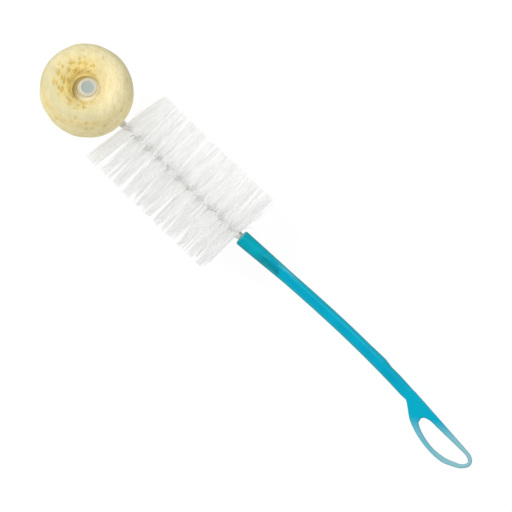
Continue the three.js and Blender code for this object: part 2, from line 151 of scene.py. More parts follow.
def handlePlastic():
    # a rise or a fall is the stretch of X over which a colour comes or goes
    look = {
        "socket": colour(0, 179, 198),
        "loop": colour(0, 174, 203), "loopRise": span(60, 80),
        # the bar between is bluer, and mottled
        "bar": colour(0, 163, 195), "barBright": colour(0, 171, 204),
        "barRise": span(-6, 10), "barFall": span(92, 108),
        "mottle": 70.0, "mottleContrast": (0.35, 0.65),
        "crest": colour(0, 186, 212), "crestShare": 0.9,  # painted highlight: a paler line along its top
        "crestRise": span(12, 20), "crestFall": span(60, 74),
        # painted sheen: a greyer, paler tone on the bar's gently sloping edges
        "barEdge": colour(44, 169, 181), "barEdgeShare": 0.8, "barEdgeSteep": (0.0, 0.25),
        # the wire shows darkly through the socket, and less on the side of +Y
        "bore": colour(0, 133, 148), "boreLeast": 0.5, "boreCloud": 0.7,
        "boreRise": span(-9, 1), "boreFall": span(8.7, 11.7),
        "boreRagged": 5 * mm, "raggedGrain": 300.0,
        "boreSide": span(0.1, 2.7), "boreSideShare": 0.75,
        "wireEnds": colour(24, 116, 122), "wireEndsRise": span(7.2, 9.2), "wireEndsShare": 0.6,
        # painted highlight: a bright line down the ramp
        "glint": colour(70, 198, 220), "glintShare": 0.8,
        "glintRise": span(6.4, 7.6), "glintFall": span(12, 18),
        "glintSide": 2.0 * mm, "glintSlant": 0.13, "glintWidth": span(0.135, 0.45),
        # pale at the socket's mouth, on the ramp's flank and towards the end of the loop
        "pale": colour(154, 202, 208),
        "mouthFall": span(-17.9, -16.7),
        "flankRise": span(2, 9), "flankFall": span(14, 24), "flankSide": span(3.2, 4.6), "flankShare": 0.45,
        "fadeRise": span(122.5, 140), "fadeSlant": 1.5, "fadeShare": 0.5,
        "endRise": span(126, 152), "endShare": 0.36,
        # painted shade: the steep sides all round are darker, in teal or in the pale colour
        "steep": colour(6, 140, 152), "paleSteep": colour(112, 168, 174),
        "steepRise": (0.06, 0.7), "steepShare": 0.6,
        "cloud": 240.0,
        "rough": 0.2, "rougher": 0.06, "roughGrain": 260.0, "specular": 0.06,
    }
    finish = Finish(bpy.data.materials.new("handlePlastic"))
    place = finish.objectCoords()
    along = finish.node("ShaderNodeSeparateXYZ", {}, {0: place}, out="X")
    aside = finish.node("ShaderNodeSeparateXYZ", {}, {0: place}, out="Y")
    steep = finish.attribute("steep")
    cloud = finish.grain(place, look["cloud"])

    bar = finish.between(along, look["barRise"], look["barFall"])
    mottle = finish.ramp(finish.grain(place, look["mottle"]), look["mottleContrast"])
    body = finish.mix(finish.ramp(along, look["loopRise"]), look["socket"], look["loop"])
    body = finish.mix(bar, body, finish.mix(mottle, look["bar"], look["barBright"]))
    # painted highlight along the bar's top
    crest = finish.between(along, look["crestRise"], look["crestFall"]) * finish.attribute("crest")
    body = finish.mix(look["crestShare"] * crest, body, look["crest"])

    ragged = along + look["boreRagged"] * (finish.grain(place, look["raggedGrain"]) - 0.5)
    bore = finish.ramp(along, look["boreRise"]) * (1.0 - finish.ramp(ragged, look["boreFall"]))
    bore = bore * (1.0 - look["boreSideShare"] * finish.ramp(aside, look["boreSide"]))
    body = finish.mix(bore * (look["boreLeast"] + look["boreCloud"] * cloud), body, look["bore"])
    wireEnds = bore * finish.ramp(along, look["wireEndsRise"])
    body = finish.mix(look["wireEndsShare"] * wireEnds, body, look["wireEnds"])

    offLine = finish.calc("ABSOLUTE", aside - look["glintSlant"] * along - look["glintSide"])
    glint = 1.0 - finish.ramp(offLine, look["glintWidth"])
    glint = glint * finish.between(along, look["glintRise"], look["glintFall"])
    body = finish.mix(look["glintShare"] * glint, body, look["glint"])

    mouth = cloud * (1.0 - finish.ramp(along, look["mouthFall"]))
    flank = finish.between(along, look["flankRise"], look["flankFall"])
    flank = flank * finish.ramp(aside, look["flankSide"])
    fade = look["fadeShare"] * finish.ramp(along - look["fadeSlant"] * aside, look["fadeRise"])
    fade = fade + look["endShare"] * finish.ramp(along, look["endRise"])
    body = finish.mix(mouth + look["flankShare"] * flank + fade, body, look["pale"])

    # painted shade on the steep sides
    side = finish.mix(fade, look["steep"], look["paleSteep"])
    body = finish.mix(look["steepShare"] * finish.ramp(steep, look["steepRise"]), body, side)
    # painted sheen on the bar's edges
    barEdge = look["barEdgeShare"] * bar * finish.ramp(steep, look["barEdgeSteep"])
    return finish.surface({
        "Base Color": finish.mix(barEdge, body, look["barEdge"]),
        "Roughness": look["rough"] + look["rougher"] * finish.grain(place, look["roughGrain"]),
        "Specular IOR Level": look["specular"],
    })


def stemSteel():
    look = {
        "clean": colour(237, 237, 234), "worn": colour(221, 218, 210),
        "wearGrain": 420.0, "wear": (0.35, 0.7),
        "scratchGrain": 2600.0, "scratch": 0.01 * mm,
        "rough": 0.5, "rougher": 0.15, "metallic": 0.35,
    }
    finish = Finish(bpy.data.materials.new("stemSteel"))
    place = finish.objectCoords()
    wear = finish.ramp(finish.grain(place, look["wearGrain"], 3.0), look["wear"])
    return finish.surface({
        "Base Color": finish.mix(wear, look["clean"], look["worn"]),
        "Roughness": look["rough"] + look["rougher"] * wear,
        "Normal": finish.bump(finish.grain(place, look["scratchGrain"]), look["scratch"]),
        "Metallic": look["metallic"],
    })


def bristleNylon():
    look = {
        "dim": colour(215, 215, 214), "clear": colour(240, 240, 239),
        "rough": 0.35, "rougher": 0.15,
        "glow": 0.32,  # painted glow: emission that stands in for light wandering through the clear filaments
    }
    finish = Finish(bpy.data.materials.new("bristleNylon"))
    # tone: each filament's own tone, less painted shade near the wire and on the side of -Y
    tone = finish.attribute("tone")
    shade = finish.mix(tone, look["dim"], look["clear"])
    return finish.surface({
        "Base Color": shade,
        "Roughness": look["rough"] + look["rougher"] * tone,
        "Emission Color": shade,
        "Emission Strength": look["glow"],
    })


def foamFinish():
    look = {
        # rim: painted shade, greyer towards the outer edge and away from the painted light side
        "face": colour(246, 233, 190), "shade": colour(228, 213, 164), "rim": colour(192, 188, 146),
        # wall: painted light, a paler, warmer wall on the lower side, which turns from the lamps
        "wall": colour(250, 237, 188), "wallShade": colour(234, 218, 163),
        # arris: painted shade, a darker band under the face's edge on the wall's side, eased on the painted
        # light side
        "arris": colour(212, 192, 128), "arrisShare": 0.55,
        # pit: the deeper yellow of the pores, partly the foam's own colour and partly painted shade in the
        # hollows
        "dimple": colour(252, 231, 155), "pit": colour(213, 181, 84),
        "grainWay": math.radians(-46), "grainDraw": 2.4,  # the way that the cells are long, and how much
        "blotch": 330.0, "blotchContrast": (0.35, 0.65),
        "fine": 1000.0, "fineContrast": (0.33, 0.67), "fineShare": 0.5,
        "cell": 1500.0, "cellDepth": 0.3 * mm, "cellStrength": 0.4,
        "rough": 0.95, "specular": 0.1,
    }
    finish = Finish(bpy.data.materials.new("foam"))
    place = finish.objectCoords()
    drawn = finish.node("ShaderNodeMapping", {"vector_type": "TEXTURE"}, {
        "Vector": place, "Rotation": (0.0, 0.0, look["grainWay"]), "Scale": (look["grainDraw"], 1.0, 1.0),
    })
    blotch = finish.ramp(finish.grain(drawn, look["blotch"], 4.0), look["blotchContrast"])
    fine = finish.ramp(finish.grain(drawn, look["fine"]), look["fineContrast"])
    speckle = (1 - look["fineShare"]) * blotch + look["fineShare"] * fine
    wall = finish.mix(speckle, look["wallShade"], look["wall"])
    skin = finish.mix(speckle, look["shade"], look["face"])
    skin = finish.mix(finish.attribute("rim"), skin, look["rim"])
    skin = finish.mix(finish.attribute("wall"), skin, wall)
    skin = finish.mix(look["arrisShare"] * finish.attribute("arris"), skin, look["arris"])
    skin = finish.mix(finish.attribute("dimple"), skin, look["dimple"])
    cells = finish.node("ShaderNodeTexVoronoi", {}, {"Vector": place, "Scale": look["cell"]})
    return finish.surface({
        "Base Color": finish.mix(finish.attribute("pit"), skin, look["pit"]),
        "Roughness": look["rough"],
        "Normal": finish.bump(cells, look["cellDepth"], look["cellStrength"]),
        "Specular IOR Level": look["specular"],
    })


def capPlastic():
    look = {
        "milk": colour(190, 187, 173), "window": colour(153, 164, 162),
        # brim: painted light lifts it out of the crown's shadow; dimBrim is painted shade on the foam's worn
        # side
        "brim": colour(231, 225, 201), "dimBrim": colour(158, 141, 86),
        "cloud": 500.0, "cloudDepth": 0.02 * mm,
        "rough": 0.25, "rougher": 0.2, "specular": 0.3,
        "glow": 0.18,  # painted glow: emission that stands in for light wandering through the milky plastic
    }
    finish = Finish(bpy.data.materials.new("capPlastic"))
    cloud = finish.grain(finish.objectCoords(), look["cloud"])
    brim = finish.mix(finish.attribute("dim"), look["brim"], look["dimBrim"])
    skin = finish.mix(finish.attribute("window"), look["milk"], look["window"])
    skin = finish.mix(finish.attribute("brim"), skin, brim)
    return finish.surface({
        "Base Color": skin,
        "Emission Color": skin,
        "Emission Strength": look["glow"],
        "Roughness": look["rough"] + look["rougher"] * cloud,
        "Normal": finish.bump(cloud, look["cloudDepth"]),
        "Specular IOR Level": look["specular"],
    })


# piece helpers

def share(value, low, high):  # 0 at low, 1 at high
    return min(1.0, max(0.0, (value - low) / (high - low)))


def fading(distance, reach):  # 1 at no distance, 0 from the reach on
    return max(0.0, 1 - distance / reach)


def linked(name, data):
    made = bpy.data.objects.new(name, data)
    bpy.context.scene.collection.objects.link(made)
    return made


def addPiece(name, mesh, material, body, slot, *nodes):
    piece = linked(name, mesh)
    mesh.materials.clear()
    mesh.materials.append(material)
    for face in mesh.polygons:
        face.use_smooth = True
    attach(piece, body)
    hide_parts(*nodes)
    return piece


def meshFrom(form, name):
    mesh = bpy.data.meshes.new(name)
    form.to_mesh(mesh)
    form.free()
    return mesh


def settled(mesh, name, *modifiers):  # the mesh with modifiers applied, each given as (type, settings)
    worker = linked(name, mesh)
    for kind, settings in modifiers:
        made = worker.modifiers.new(kind, kind)
        for key, value in settings.items():
            setattr(made, key, value)
    view = bpy.context.evaluated_depsgraph_get()
    result = bpy.data.meshes.new_from_object(worker.evaluated_get(view))
    bpy.data.objects.remove(worker)
    result.name = name
    return result


def mark(mesh, marks):  # each list of values as an attribute that the finish reads
    for name, values in marks.items():
        mesh.attributes.new(name, "FLOAT", "POINT").data.foreach_set("value", values)


def turned(name, profile, steps, edgeRound=0.0, sharpest=30):
    form = bmesh.new()
    verts = [form.verts.new((radius * mm, 0, height * mm)) for radius, height in profile]
    edges = [form.edges.new(pair) for pair in zip(verts, verts[1:])]
    bmesh.ops.spin(form, geom=verts + edges, axis=(0, 0, 1), cent=(0, 0, 0), steps=steps,
                   angle=2 * math.pi, use_merge=True)
    bmesh.ops.remove_doubles(form, verts=form.verts, dist=weld)
    bmesh.ops.recalc_face_normals(form, faces=form.faces)
    if edgeRound:
        corners = [edge for edge in form.edges
                   if len(edge.link_faces) == 2 and edge.calc_face_angle() > math.radians(sharpest)]
        bmesh.ops.bevel(form, geom=corners, offset=edgeRound * mm, offset_type="OFFSET", segments=3,
                        profile=0.5, affect="EDGES", material=-1)
    return meshFrom(form, name)


def raiseToTip(mesh):  # from upright at the origin to the foam ring's axis
    turn = Vector((0, 0, 1)).rotation_difference(tipAxis)
    mesh.transform(Matrix.Translation(tipCentre) @ turn.to_matrix().to_4x4())
    return mesh


# stem: the line that the wire and the bristles follow

stem = {
    "wireRadius": 1.0 * mm,
    "wireSides": 12,
    "coilRadius": 1.55 * mm,     # from the stem's line to the middle of each leg
    "pinch": 0.45 * mm,          # the legs come closer past the bristles, at this place and over this reach
    "pinchAt": 101.6 * mm, "pinchReach": 3.2 * mm,
    "pitch": 15.5 * mm,
    "start": math.radians(115),  # turn of the legs at their cut ends
    "ease": 6.0 * mm,            # the twist stops over this length before the fold
    "insert": 12.7 * mm,         # how deep the cut ends stand in the socket
    "lean": math.radians(3),     # of the socket
    "mouthBend": 1.6 * mm,
    "neckAt": 88.2 * mm,         # from the socket's face to where the neck begins
    "neckPulls": (13.0 * mm, 9.0 * mm),
    "neckEnd": -8.8 * mm,        # heights on the foam ring's axis
    "foldAt": 1.55 * mm,
    "foldSteps": 12,
    "step": 0.4 * mm,
}


class StemLine:
    def __init__(self):
        inward = Vector((math.cos(stem["lean"]), math.sin(stem["lean"]), 0))
        mouthIn = socketFace + inward * stem["mouthBend"]
        mouthOut = socketFace + alongStem * stem["mouthBend"]
        neckStart = socketFace + alongStem * stem["neckAt"]
        neckEnd = tipCentre + tipAxis * stem["neckEnd"]
        startPull, endPull = stem["neckPulls"]
        corners = [
            (socketFace + inward * stem["insert"], mouthIn, None),
            (mouthIn, mouthOut, (mouthIn.lerp(socketFace, 2 / 3), mouthOut.lerp(socketFace, 2 / 3))),
            (mouthOut, neckStart, None),
            (neckStart, neckEnd, (neckStart + alongStem * startPull, neckEnd - tipAxis * endPull)),
            (neckEnd, tipCentre + tipAxis * stem["foldAt"], None),
        ]
        self.points = [corners[0][0]]
        for first, last, pulls in corners:
            count = max(4, round((last - first).length / stem["step"]))
            handles = pulls or (first.lerp(last, 1 / 3), first.lerp(last, 2 / 3))
            self.points += geometry.interpolate_bezier(first, *handles, last, count + 1)[1:]
        self.measure()

    def measure(self):  # lengths, directions and an untwisted side direction at each point
        steps = [after - before for before, after in zip(self.points, self.points[1:])]
        self.lengths = [0.0]
        for step in steps:
            self.lengths.append(self.lengths[-1] + step.length)
        self.length = self.lengths[-1]
        self.tangents = [step.normalized() for step in steps]
        self.tangents.append(self.tangents[-1])
        side = Vector((0, 0, -1))
        self.sides = [side]
        for before, after in zip(self.tangents, self.tangents[1:]):
            side = before.rotation_difference(after) @ side
            self.sides.append(side)

    def turn(self, distance):
        easing = max(0.0, distance - self.length + stem["ease"])
        wound = distance - easing ** 2 / (2 * stem["ease"])
        return stem["start"] - 2 * math.pi * wound / stem["pitch"]

    def coil(self, distance):
        fromPinch = (distance - stem["pinchAt"]) / stem["pinchReach"]
        return stem["coilRadius"] - stem["pinch"] * max(0.0, 1 - fromPinch ** 2)

    def at(self, distance):  # centre, direction, and direction to the first leg
        row = bisect.bisect_right(self.lengths, distance) - 1
        row = min(max(row, 0), len(self.points) - 2)
        part = (distance - self.lengths[row]) / (self.lengths[row + 1] - self.lengths[row])
        centre = self.points[row].lerp(self.points[row + 1], part)
        tangent = self.tangents[row]
        across = Matrix.Rotation(self.turn(distance), 3, tangent) @ self.sides[row]
        return centre, tangent, across


stemLine = StemLine()
print(f"stem line: {stemLine.length / mm:.1f} mm long")


def tubeCurve(name, radius, sides):
    curve = bpy.data.curves.new(name, "CURVE")
    curve.dimensions = "3D"
    curve.bevel_depth = radius
    curve.bevel_resolution = (sides - 4) // 2
    curve.use_fill_caps = True
    return curve


def addRun(curve, points):
    run = curve.splines.new("POLY")
    run.points.add(len(points) - 1)
    run.points.foreach_set("co", [value for point in points for value in (*point, 1.0)])


# wire: one length, folded into a hairpin and twisted

def stemWire():
    count = round(stemLine.length / stem["step"])
    up = []
    down = []
    for row in range(count + 1):
        distance = stemLine.length * row / count
        centre, tangent, across = stemLine.at(distance)
        up.append(centre + across * stemLine.coil(distance))
        down.append(centre - across * stemLine.coil(distance))
    fold = []
    for step in range(1, stem["foldSteps"]):
        angle = math.pi * step / stem["foldSteps"]
        fold.append(centre + (across * math.cos(angle) + tangent * math.sin(angle)) * stem["coilRadius"])
    curve = tubeCurve("wireRun", stem["wireRadius"], stem["wireSides"])
    addRun(curve, up + fold + down[::-1])
    addPiece("wire", settled(curve, "wire"), stemSteel(), "brush", "stem_steel", "stem_wire")


stemWire()
print("wire made")


# bristles: tufts of filaments, gripped between the legs and fanned by the twist

bristles = {
    "from": 15.9 * mm,         # along the stem, where the filaments begin
    "length": 84.0 * mm,
    "radius": 27.0 * mm,
    "root": 0.6 * mm,          # radius at which they begin
    "heights": (0.0, 0.2, 0.45, 0.72, 1.0),  # of a filament's points
    "filament": 0.1 * mm, "filamentSides": 4,
    "trim": 0.5 * mm,          # how uneven the filaments were cut
    "rows": 68,
    "sections": 4,
    "tuftsPerRow": 5,          # on each side of the wire
    "filamentsPerTuft": 11,
    "seed": 100,
    "fan": math.radians(70),   # to either side of the blade that the twist makes
    "tuftTurn": math.radians(9),
    "tuftLean": 0.5 * mm,
    "filamentLean": 0.45 * mm,
    "leanCurve": 1.3,          # power of the height that the lean goes with
    "splay": 3.0,              # how much more the filaments that point up or down lean
    "splayCurve": 8,
    "bow": 0.7 * mm,
    # lean of the tips along X at the far end and at the handle, on the sides of -Y and +Y
    "farLean": (-3.4 * mm, 6.2 * mm),
    "nearLean": (-0.4 * mm, 1.8 * mm),
    "leanReach": 22.0 * mm, "leanFade": 1.5,
    # partings in mm: X at the stem, X at the tips, opening at the tips, share of the height where it starts
    "partings": (
        [
            (-97.0, -99.4, 3.2, 0.15), (-91.5, -92.6, 1.2, 0.3), (-89.0, -89.6, 1.4, 0.35),
            (-82.6, -82.2, 2.4, 0.12), (-73.6, -71.6, 1.2, 0.15), (-65.5, -64.6, 1.2, 0.6),
            (-58.8, -59.8, 2.6, 0.2), (-53.5, -53.2, 1.0, 0.5), (-50.5, -49.4, 0.8, 0.2),
            (-42.6, -41.2, 1.9, 0.45), (-36.4, -35.4, 0.9, 0.3), (-33.6, -33.8, 1.1, 0.3),
            (-27.4, -27.0, 1.1, 0.45), (-21.8, -22.6, 0.8, 0.75),
        ],
        [
            (-90.8, -91.2, 1.2, 0.5), (-86.0, -85.4, 1.2, 0.6), (-82.6, -81.0, 0.8, 0.2),
            (-66.6, -67.4, 2.6, 0.12), (-62.0, -61.4, 2.0, 0.55), (-57.8, -57.6, 1.4, 0.6),
            (-36.4, -38.2, 0.9, 0.3), (-31.0, -31.2, 0.9, 0.75), (-26.9, -29.0, 1.3, 0.15),
            (-25.4, -25.2, 1.0, 0.8),
        ],
    ),
    "partingReach": 2.8 * mm, "partingCurve": 0.45,
    "clearOfFoam": (26.2 * mm, 15.2 * mm),  # radius and half height of the room that the foam ring keeps
    "tone": (0.2, 0.3, 0.3),   # least, what the tuft adds at most and what the filament adds
    "coreShade": 0.38,          # painted shade: how much dimmer the filaments are at the wire, and how far out
    "coreReach": 9.0 * mm,
    "bareShade": 0.25,          # painted shade also where a leg of the wire comes to the top, and how far out
    "bareReach": 4.0 * mm, "bareCurve": 4,
    "leftShade": 0.3,           # and painted shade towards the tips on the side of -Y
    "leftRise": span(4, 22),
}


# X of a filament's point: beside a parting it follows that, and it never crosses one
def parted(root, lean, aside, side):
    along = root
    hold = 0.0
    edges = []
    for at, tip, opening, start in bristles["partings"][side]:
        way = math.copysign(1, root - at * mm)
        slant = (tip - at) * mm * aside
        half = 0.5 * opening * mm * max(0.0, (aside - start) / (1 - start)) ** bristles["partingCurve"]
        near = fading(abs(root - at * mm), bristles["partingReach"])
        along += near * (slant + way * half)
        hold = max(hold, near)
        edges.append((at * mm + slant + way * half, way))
    along += lean * (1 - hold)
    for edge, way in edges:
        along = edge + way * max(0.0, way * (along - edge))
    return along


def insideFoam(point):
    reach, height = bristles["clearOfFoam"]
    offset = point - tipCentre
    rise = offset.dot(tipAxis)
    return abs(rise) < height and (offset - tipAxis * rise).length < reach


def filamentPoints(rng, distance, pole, turn, lean, cut):
    centre, tangent, across = stemLine.at(distance)
    angle = turn + rng.gauss(0, bristles["tuftTurn"])
    direction = Matrix.Rotation(angle, 3, tangent) @ (across.cross(tangent) * pole)
    side = 0 if direction.y < 0 else 1
    fromHandle = distance - bristles["from"]
    fromEnd = bristles["length"] - fromHandle
    push = bristles["farLean"][side] * fading(fromEnd, bristles["leanReach"]) ** bristles["leanFade"]
    push += bristles["nearLean"][side] * fading(fromHandle, bristles["leanReach"]) ** bristles["leanFade"]
    splay = 1 + bristles["splay"] * direction.z ** bristles["splayCurve"]
    tip = push * abs(direction.y) + (lean + rng.gauss(0, bristles["filamentLean"])) * splay
    reach = bristles["radius"] - cut - bristles["trim"] * rng.random() ** 2
    bow = direction.cross(tangent) * rng.gauss(0, bristles["bow"])
    points = []
    for height in bristles["heights"]:
        point = centre + direction * (bristles["root"] + (reach - bristles["root"]) * height)
        point += bow * math.sin(math.pi * height)
        aside = min(1.0, abs(point.y - centre.y) / bristles["radius"])
        point.x = parted(point.x, tip * height ** bristles["leanCurve"], aside, side)
        point.z = max(point.z, bristles["filament"])
        points.append(point)
    return points


def bristleTufts(rng, number):  # the filaments of a section, each as its points and its tone
    rows = bristles["rows"] // bristles["sections"]
    rowLength = bristles["length"] / bristles["rows"]
    least, fromTuft, fromFilament = bristles["tone"]
    for row in range(rows):
        middle = bristles["from"] + (number * rows + row + 0.5) * rowLength
        for tuft in range(2 * bristles["tuftsPerRow"]):
            pole = 1 if tuft % 2 else -1
            part = (tuft // 2 + rng.random()) / bristles["tuftsPerRow"]
            turn = (2 * part - 1) * bristles["fan"]
            lean = rng.gauss(0, bristles["tuftLean"])
            tone = rng.random()
            cut = rng.random() * bristles["trim"]
            for _ in range(bristles["filamentsPerTuft"]):
                distance = middle + rng.uniform(-0.5, 0.5) * rowLength
                points = filamentPoints(rng, distance, pole, turn, lean, cut)
                if not any(insideFoam(point) for point in points):
                    yield points, least + fromTuft * tone + fromFilament * rng.random()


def paintedShade(place, begin):  # the painted shade that a filament's tone loses at a place, with the bristles' begin along X
    fromWire = math.hypot(place.y - socketFace.y, place.z - socketFace.z)
    upright = math.cos(stemLine.turn(bristles["from"] + begin - place.x)) ** bristles["bareCurve"]
    core = bristles["coreShade"] * fading(fromWire, bristles["coreReach"])
    core += bristles["bareShade"] * upright * fading(fromWire, bristles["bareReach"])
    return core + bristles["leftShade"] * share(socketFace.y - place.y, *bristles["leftRise"])


def bristleSection(number, material):
    curve = tubeCurve("filamentRuns", bristles["filament"], bristles["filamentSides"])
    tones = []
    for points, tone in bristleTufts(random.Random(bristles["seed"] + number), number):
        addRun(curve, points)
        tones.append(tone)
    name = f"filaments_{number + 1}"
    mesh = settled(curve, name)
    perFilament = len(mesh.vertices) // len(tones)
    begin = stemLine.at(bristles["from"])[0].x
    shades = [tones[vertex.index // perFilament] - paintedShade(vertex.co, begin) for vertex in mesh.vertices]
    mark(mesh, {"tone": shades})
    addPiece(name, mesh, material, "brush", "bristle_nylon", f"bristles_{number + 1}")
    print(f"{name}: {len(tones)} filaments, {perFilament} points each")


nylon = bristleNylon()
for number in range(bristles["sections"]):
    bristleSection(number, nylon)


# foam ring: a turned form, roughened into open cells

foam = {
    # radius and height in mm of the cage that is smoothed into the ring
    "cage": [
        (4.75, -7.0), (4.75, -6.4), (4.75, -2.8), (4.75, 0.9), (4.75, 1.5), (5.3, 1.5), (7.0, 1.5),
        (7.35, 1.5), (7.35, 2.2), (7.5, 3.6), (8.0, 5.2), (8.7, 6.9), (9.9, 9.0), (11.5, 11.0), (13.4, 12.7),
        (15.7, 14.0), (18.4, 13.9), (20.9, 12.8), (22.8, 10.8), (23.8, 8.3), (24.5, 5.7), (24.9, 3.0),
        (25.15, 0.3), (25.0, -2.4), (24.6, -5.1), (24.0, -7.7), (23.1, -10.3), (21.4, -12.5), (19.0, -13.7),
        (16.3, -14.1), (13.8, -12.9), (11.8, -11.1), (9.9, -9.1), (8.4, -7.3), (8.2, -7.0), (5.3, -7.0),
        (4.75, -7.0),
    ],
    "steps": 42,
    "rounding": 3,
    "oval": (1.022, 0.991),                # the ring is a little longer along X than along Y
    "lumps": 9.0 * mm, "lumpDepth": 0.4 * mm,
    "mouth": (-0.3 * mm, 0.9 * mm),        # how far it stands back from the cap's brim, and on the worn side
    # pores: size of a cell, depth, and the least and most radius as shares of a cell
    "bigCell": 2.5 * mm, "bigDepth": 0.45 * mm, "bigRadius": (0.35, 0.75),
    "smallCell": 1.2 * mm, "smallDepth": 0.2 * mm, "smallRadius": (0.22, 0.55),
    "bigChance": {"plain": 0.03, "worn": 0.9, "dull": 0.6, "wall": 0.14}, "smallChance": 0.5,
    "warpSize": 1.3 * mm, "warp": 0.5 * mm, "warpSeed": 5,         # makes the pores ragged, alike in each run
    "stretch": Vector((0.69, -0.72, 0)), "stretchShare": 0.4,      # and long one way
    "seed": Vector((3.1, 7.7, 1.3)),
    "scatter": (Vector((12.99, 78.23, 37.72)), 43758.5),
    "sides": {
        "wornSide": Vector((-0.99, -0.12, 0)),   # more open cells in the dimple
        "dullSide": Vector((0, -1, 0)),
        # painted light: the foam is painted paler on this side, and its rim greyer away from it
        "paintedLightSide": Vector((0.88, 0.48, 0)),
        "wallSide": Vector((0.63, -0.78, 0)),    # painted light makes the wall paler here, under a band of painted shade at the arris
    },
    # zones: what is measured, in mm or as a cosine, where the zone starts and where it is full
    "zones": {
        "offSeat": ("radius", 8.0, 9.2), "aboveSeat": ("height", 3.8, 5.0),  # no pores at the cap's seat
        "outer": ("radius", 9.0, 16.0),
        "mouthStart": ("height", 3.2, 3.6), "mouthEnd": ("height", 8.5, 5.5),
        "mouthWorn": ("wornSide", 0.0, 0.8),
        "dimple": ("radius", 19.5, 11.0), "worn": ("wornSide", -0.35, 0.55), "dull": ("dullSide", 0.2, 0.8),
        # the wall's painted light, and the painted shade of the arris above it
        "wall": ("height", 12.7, 11.5), "paleWall": ("wallSide", -0.05, 0.4),
        "arris": ("height", 6.0, 11.5), "arrisSide": ("wallSide", -0.3, 0.3),
        # zones of the rim's painted shade; the clean zone is the painted light side
        "rim": ("radius", 16.5, 22.5), "edge": ("radius", 22.5, 25.0), "clean": ("paintedLightSide", 0.5, 0.95),
        "paintedShadeSide": ("paintedLightSide", 0.85, 0.45), "dullRim": ("dullSide", 0.0, 0.6),
    },
    "mouthRadius": 12.0 * mm, "wallRadius": 18.0 * mm,   # the mouth lies inside, the wall outside
    # shares of the colours
    # shares of the pits' colour, partly painted shade in the hollows
    "pit": {"big": 0.85, "small": 0.3, "least": 0.6, "gain": 1.5},
    "dimple": {"least": 0.1, "dull": 0.6, "patchLeast": 0.2, "patch": 0.5, "patchSwing": 0.8, "depth": 0.5},
    "patchSize": 3.2 * mm,
    # shares of the rim's painted shade: away from the painted light side, on the side of -Y, over the outer
    # part and at its edge, eased on the painted light side
    "rim": {"paintedShadeSide": 0.27, "dull": 0.22, "plain": 0.5, "edge": 0.3, "clean": 0.6},
    "arrisLightSide": 0.9,
}


def pick(point, salt):  # a steady random share for a place
    way, spread = foam["scatter"]
    return abs(math.sin(point.dot(way) + salt) * spread) % 1.0


def pore(place, size, radii, chance):  # 1 at the middle of a pore, 0 outside
    distances, centres = noise.voronoi(place / size + foam["seed"])
    if pick(centres[0], salt=1.0) > chance:
        return 0.0
    least, most = radii
    radius = least + (most - least) * pick(centres[0], salt=2.0)
    depth = max(0.0, 1.0 - distances[0] / radius)
    return depth * (2.0 - depth)


def zonesAt(place):  # the ring's zones at a place, as shares
    radius = math.hypot(place.x, place.y)
    measures = {"radius": radius / mm, "height": place.z / mm}
    for name, side in foam["sides"].items():
        measures[name] = place.dot(side) / radius
    zones = {zone: share(measures[name], *ends) for zone, (name, *ends) in foam["zones"].items()}
    zones["clear"] = max(zones["offSeat"], zones["aboveSeat"])
    zones["mouth"] = zones["mouthStart"] * zones["mouthEnd"] if radius < foam["mouthRadius"] else 0.0
    if place.z <= 0:
        zones["dimple"] = 0.0
    if radius <= foam["wallRadius"]:
        zones["wall"] = 0.0
    return zones


def poresAt(place, zones):
    chances = foam["bigChance"]
    chance = (chances["worn"] * zones["worn"] + chances["dull"] * zones["dull"]) * zones["dimple"]
    chance += chances["plain"] + chances["wall"] * zones["wall"]
    ragged = place + noise.noise_vector(place / foam["warpSize"]) * foam["warp"]
    ragged -= foam["stretch"] * ragged.dot(foam["stretch"]) * foam["stretchShare"]
    big = pore(ragged, foam["bigCell"], foam["bigRadius"], chance)
    small = pore(ragged, foam["smallCell"], foam["smallRadius"], foam["smallChance"])
    return big, small


def foamPoint(vertex, zones, big, small):  # where pores, lumps and the mouth bring a point of the ring
    place = vertex.co
    lump = noise.noise(place / foam["lumps"] + foam["seed"])
    sink = foam["bigDepth"] * big + foam["smallDepth"] * small - foam["lumpDepth"] * lump
    least, most = foam["mouth"]
    back = (least + (most - least) * zones["mouthWorn"]) * zones["mouth"]
    outward = Vector((place.x, place.y, 0)) / math.hypot(place.x, place.y)
    point = place - vertex.normal * sink * zones["clear"] + outward * back
    longer, wider = foam["oval"]
    point.x *= 1 + (longer - 1) * zones["outer"]
    point.y *= 1 + (wider - 1) * zones["outer"]
    return point


def foamMarks(place, zones, big, small):  # shares of the colours that the foam's finish mixes
    pit, dimple, rim = foam["pit"], foam["dimple"], foam["rim"]
    opened = min(1.0, pit["gain"] * max(zones["worn"], zones["dull"]) * zones["dimple"])
    strength = pit["least"] + (1 - pit["least"]) * opened
    patch = dimple["patch"] + dimple["patchSwing"] * noise.noise(place / foam["patchSize"])
    patch = min(1.0, max(dimple["patchLeast"], patch + dimple["depth"] * zones["dimple"]))
    worn = dimple["least"] + (1 - dimple["least"]) * max(zones["worn"], dimple["dull"] * zones["dull"])
    # painted shade under the face's edge
    arris = zones["wall"] * zones["arrisSide"] * zones["arris"]
    # painted shade on the rim
    paintedShadeSide = rim["paintedShadeSide"] * zones["paintedShadeSide"] + rim["dull"] * zones["dullRim"]
    edge = rim["edge"] * zones["edge"] * (1 - zones["paleWall"])
    return {
        "pit": min(1.0, (pit["big"] * big + pit["small"] * small) * zones["clear"]) * strength,
        "dimple": zones["dimple"] * worn * patch,
        "wall": zones["wall"] * zones["paleWall"],
        "arris": arris * (1 - foam["arrisLightSide"] * zones["clean"]),
        "rim": max(paintedShadeSide, rim["plain"] * zones["rim"] * (1 - rim["clean"] * zones["clean"]) + edge),
    }


